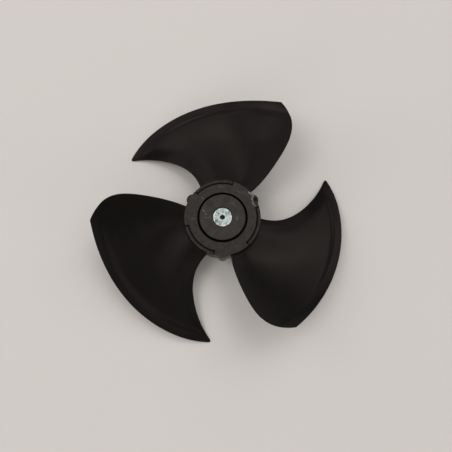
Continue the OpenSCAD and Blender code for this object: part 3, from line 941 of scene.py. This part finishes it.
# ---------------------------------------------------------------- the pieces
class HubForm:
    """The hub with its ribs and bumps, and the cutters for its details, in millimetres."""

    def __init__(self, sizes, bush):
        self.s = sizes
        self.hub_r, self.height = sizes.hub_d / MM / 2, sizes.hub_h / MM
        self.wall, self.plate = sizes.wall / MM, sizes.plate / MM
        self.disc_r, self.rise = sizes.disc_d / MM / 2, sizes.disc_rise / MM
        self.ring_r = self.disc_r + sizes.groove_w / MM
        self.deep = sizes.groove_depth / MM
        self.boss_r, self.bush_r = sizes.boss_d / MM / 2, bush.bush_d / MM / 2
        self.back = bush.low / MM + BUSH_PROUD

    def cup(self):
        """The cup with its end plate, disc, ring groove and boss, as one ring."""
        wall_r, under = self.hub_r - self.wall, self.deep + self.plate
        ring_r, disc_r = self.ring_r + self.plate, self.disc_r - self.plate
        ceiling = self.rise - self.plate
        outline = [
            (self.bush_r, self.rise, 0.3),
            (self.disc_r, self.rise, 1.2),
            (self.disc_r, -self.deep, 0.5),
            (self.ring_r, -self.deep, 0.5),
            (self.ring_r, 0, 0.7),
            (self.hub_r, 0, 0.9),
            (self.hub_r, -self.height, 0.6),
            (wall_r, -self.height, 0.6),
            (wall_r, -self.plate, 1.0),
            (ring_r, -self.plate, 0.8),
            (ring_r, -under, 1.2),
            (disc_r, -under, 1.2),
            (disc_r, ceiling, 0.8),
            (self.boss_r, ceiling, 1.0),
            (self.boss_r, self.back, 0.5),
            (self.bush_r, self.back, 0.2),
        ]
        return revolved("impeller_moulding", rounded(outline))

    def rib(self, angle):
        """A rib from the boss to the wall, stepped under the disc, groove and plate."""
        half, reach = self.s.rib_t / MM / 2, self.s.rib_h / MM
        inside, low = self.boss_r - 1, self.back + 1.3
        wall_r, middle = self.hub_r - self.wall / 2, self.plate / 2
        ring_r, disc_r = self.ring_r + middle, self.disc_r - middle
        side = [
            (inside, low),
            (self.boss_r, low),
            (wall_r, -reach),
            (wall_r, -middle),
            (ring_r, -middle),
            (ring_r, -self.deep - middle),
            (disc_r, -self.deep - middle),
            (disc_r, self.rise - middle),
            (inside, self.rise - middle),
        ]
        loops = [turned([(x, y, z) for x, z in side], angle) for y in (-half, half)]
        return lofted("rib", loops)

    def bump(self, angle):
        """A bump on the hub's side: an upright pin that is cut back to the wall."""
        r, low = self.s.bump_r / MM, -self.height
        pin = rounded([(0, low, 0), (r, low, 0.5), (r, -0.01, 0.7), (0, -0.01, 0)])
        centre = on_circle(self.hub_r + self.s.bump_out / MM - r, angle)
        piece = spun("bump", pin, 48, centre)
        ends = angle - BUMP_HALF, angle + BUMP_HALF
        radii = self.hub_r - self.wall / 2, self.hub_r + 8
        combine(piece, [sector("keep", *ends, *radii, low - 2, 2)], "INTERSECT")
        return piece

    def arc_cutters(self, angle):
        """Cutters for an arc groove, the lowered lip outside it and the slots at its ends."""
        mid, half = self.s.arc_r / MM, self.s.arc_w / MM / 2
        slot = math.degrees(self.s.slot_w / self.s.arc_r)
        arc = angle - slot / 2, angle + ARC_SPAN + slot / 2
        groove, lip = -self.s.arc_depth / MM, -self.s.lip_drop / MM
        radii, low = (mid - half * 4 / 3, self.hub_r + 2), -self.s.slot_depth / MM
        return [
            sector("groove", *arc, mid - half, mid + half, groove, CUT_TOP),
            sector("lip", *arc, mid, self.hub_r + 1, lip, CUT_TOP),
            sector("slot", angle - slot, angle, *radii, low, CUT_TOP),
            sector("slot", angle + ARC_SPAN, angle + ARC_SPAN + slot, *radii, low, CUT_TOP),
        ]

    def pocket_cutter(self):
        """Cutter for the pocket that is broken out of the first bump."""
        wide, long = self.s.scar_w / MM / 2, self.s.scar_l / MM / 2
        deep, middle = self.s.scar_depth / MM, self.hub_r - wide + self.s.bump_out / MM / 2
        levels = [(-deep * depth, size) for depth, size in POCKET_LEVELS]
        loops = []
        for height, size in (*levels, (CUT_TOP, POCKET_TOP)):
            loop = []
            for i, rag in enumerate(RAGGED):
                a = 2 * math.pi * i / len(RAGGED)
                x = middle + wide * rag * size * boxy(math.cos(a))
                y = long * rag * size * boxy(math.sin(a))
                loop.append((x, y, height + 0.3 * (rag - 1)))
            loops.append(turned(loop, BUMP_AT))
        return lofted("broken_pocket", loops)

    def dial_cutters(self, angle):
        """Cutters for one round dial: a ring line and a bar across it."""
        r, half = self.s.dial_d / MM / 2, self.s.dial_line / MM / 2
        inner, out = r - half * 2, self.s.dial_r / MM
        low, high = (self.s.disc_rise - self.s.dial_depth) / MM, self.rise + 1
        outline = [(inner, low), (r, low), (r, high), (inner, high)]
        ring = revolved("dial", outline, 40, on_circle(out, angle))
        bar = [(out + r * DIAL_BAR * x, half * y) for x, y in CORNERS]
        loops = [turned([(*p, z) for p in bar], angle) for z in (low, high)]
        return [ring, lofted("dial_bar", loops)]


def boxy(wave):
    """A sine or cosine made squarer, for an outline with fuller corners."""
    return math.copysign(abs(wave) ** 0.7, wave)


class IMPELLER_OT_moulding(bpy.types.Operator):
    """Add the black moulding: hub, ribs, bumps and blades as one closed skin"""

    bl_idname = "impeller.moulding"
    bl_label = "Hub and blades"

    def execute(self, context):
        scene = context.scene
        sizes = scene.moulding_sizes
        hub, blade = HubForm(sizes, scene.bush_sizes), BladeForm(sizes)
        turns = [i * 360 / sizes.blade_count for i in range(sizes.blade_count)]
        added = [hub.rib(i * 360 / sizes.rib_count) for i in range(sizes.rib_count)]
        added += [hub.bump(BUMP_AT + turn) for turn in turns]
        added += [closed("blade", *blade.mesh(turn)) for turn in turns]
        cut = [cutter for turn in turns for cutter in hub.arc_cutters(ARC_AT + turn)]
        cut.append(hub.pocket_cutter())
        cut += [cutter for angle in DIAL_ANGLES for cutter in hub.dial_cutters(angle)]
        piece = hub.cup()
        combine(piece, added, "UNION")
        combine(piece, cut, "DIFFERENCE")
        smooth(piece)
        material = black_plastic(scene.looks, sizes.disc_rise)
        finished(piece, ["impeller"], material)
        return {"FINISHED"}


class IMPELLER_OT_bush(bpy.types.Operator):
    """Add the plated steel shaft bush"""

    bl_idname = "impeller.bush"
    bl_label = "Shaft bush"

    def execute(self, context):
        s = context.scene.bush_sizes
        r, bore = s.bush_d / MM / 2, s.bore_d / MM / 2
        top, low = s.top / MM, s.low / MM
        c, b = s.chamfer / MM, s.bore_chamfer / MM
        outline = [
            (bore + b, top, 0.15),
            (r - c, top, 0.2),
            (r, top - c, 0.2),
            (r, low + c, 0.2),
            (r - c, low, 0.2),
            (bore + b, low, 0.15),
            (bore, low + b, 0.15),
            (bore, top - b, 0.15),
        ]
        piece = revolved("shaft_bush_plated", rounded(outline, 3), 128)
        mark = s.punch_d / MM / 2
        cone = [
            (0, top - mark),
            (mark * 0.5, top - mark * 0.8),
            (mark, top),
            (mark, top + 1),
            (0, top + 1),
        ]
        centre = on_circle(s.punch_r / MM, PUNCH_AT)
        combine(piece, [spun("punch_mark", cone, 24, centre)], "DIFFERENCE")
        smooth(piece)
        finished(piece, ["shaft_bush"], zinc_plate(context.scene.looks))
        return {"FINISHED"}


class IMPELLER_OT_stage(bpy.types.Operator):
    """Add the plain floor, the soft lamps and the camera"""

    bl_idname = "impeller.stage"
    bl_label = "Floor, lamps and camera"

    def execute(self, context):
        scene, stage = context.scene, context.scene.stage
        low = IMPELLER_LOW.z / MM
        corners = [(x * FLOOR_HALF, y * FLOOR_HALF, low) for x, y in CORNERS]
        floor = solid("floor", corners, [(0, 1, 2, 3)])
        floor.data.materials.append(plain_floor(scene.looks))
        for spot in LAMPS:
            lamp(*spot, stage.lamps)
        world = bpy.data.worlds.new("room")
        world.use_nodes = True
        background = world.node_tree.nodes["Background"]
        background.inputs["Color"].default_value = (*stage.ambient_tint, 1.0)
        background.inputs["Strength"].default_value = stage.ambient
        scene.world = world
        data = bpy.data.cameras.new("camera")
        data.sensor_width, data.lens = SENSOR, stage.lens
        data.clip_start, data.clip_end = 0.01, 50.0
        camera = bpy.data.objects.new("camera", data)
        look = (Vector(stage.camera_to) - Vector(stage.camera_at)).normalized()
        right = look.cross(Vector((0, 1, 0))).normalized()
        turn = Matrix((right, right.cross(look), -look)).transposed().to_4x4()
        camera.matrix_world = Matrix.Translation(stage.camera_at) @ turn
        scene.collection.objects.link(camera)
        scene.camera = camera
        scene.view_settings.view_transform = "Standard"
        return {"FINISHED"}


def lamp(elevation, azimuth, power, share):
    """A soft lamp on a dome round the impeller, facing its hub."""
    name = f"lamp_{elevation}_{azimuth}"
    data = bpy.data.lights.new(name, "AREA")
    data.shape, data.size = "RECTANGLE", LAMP_SIZE
    data.size_y = LOW_LAMP_SIZE if elevation < LOW_LAMP else LAMP_SIZE
    data.energy = power * share
    made = bpy.data.objects.new(name, data)
    a, e = math.radians(azimuth), math.radians(elevation)
    away = Vector((math.cos(a) * math.cos(e), math.sin(a) * math.cos(e), math.sin(e)))
    made.location = away * LAMP_REACH
    made.rotation_mode = "QUATERNION"
    made.rotation_quaternion = (-away).to_track_quat("-Z", "Y")
    bpy.context.scene.collection.objects.link(made)


class IMPELLER_PT_panel(bpy.types.Panel):
    """The impeller's sizes, colours and steps"""

    bl_label = "Fan impeller"
    bl_idname = "IMPELLER_PT_panel"
    bl_space_type = "VIEW_3D"
    bl_region_type = "UI"
    bl_category = "Impeller"

    def draw(self, context):
        for operator in OPERATORS:
            self.layout.operator(operator.bl_idname)
        for name in SETTINGS:
            box = self.layout.box()
            group = getattr(context.scene, name)
            box.label(text=SETTINGS[name].__doc__.rstrip("."))
            for key in group.bl_rna.properties.keys():
                if key not in ("rna_type", "name"):
                    box.prop(group, key)


SETTINGS = {
    "moulding_sizes": MouldingSizes,
    "bush_sizes": BushSizes,
    "looks": Looks,
    "stage": Stage,
}
OPERATORS = (IMPELLER_OT_stage, IMPELLER_OT_moulding, IMPELLER_OT_bush)


def register():
    for group in SETTINGS.values():
        bpy.utils.register_class(group)
    for name, group in SETTINGS.items():
        setattr(bpy.types.Scene, name, bpy.props.PointerProperty(type=group))
    for made in (*OPERATORS, IMPELLER_PT_panel):
        bpy.utils.register_class(made)


def unregister():
    for made in (IMPELLER_PT_panel, *OPERATORS):
        bpy.utils.unregister_class(made)
    for name in SETTINGS:
        delattr(bpy.types.Scene, name)
    for group in reversed(SETTINGS.values()):
        bpy.utils.unregister_class(group)


def main():
    register()
    bpy.ops.impeller.stage()
    bpy.ops.impeller.moulding()
    bpy.ops.impeller.bush()


if __name__ == "__main__":
    main()
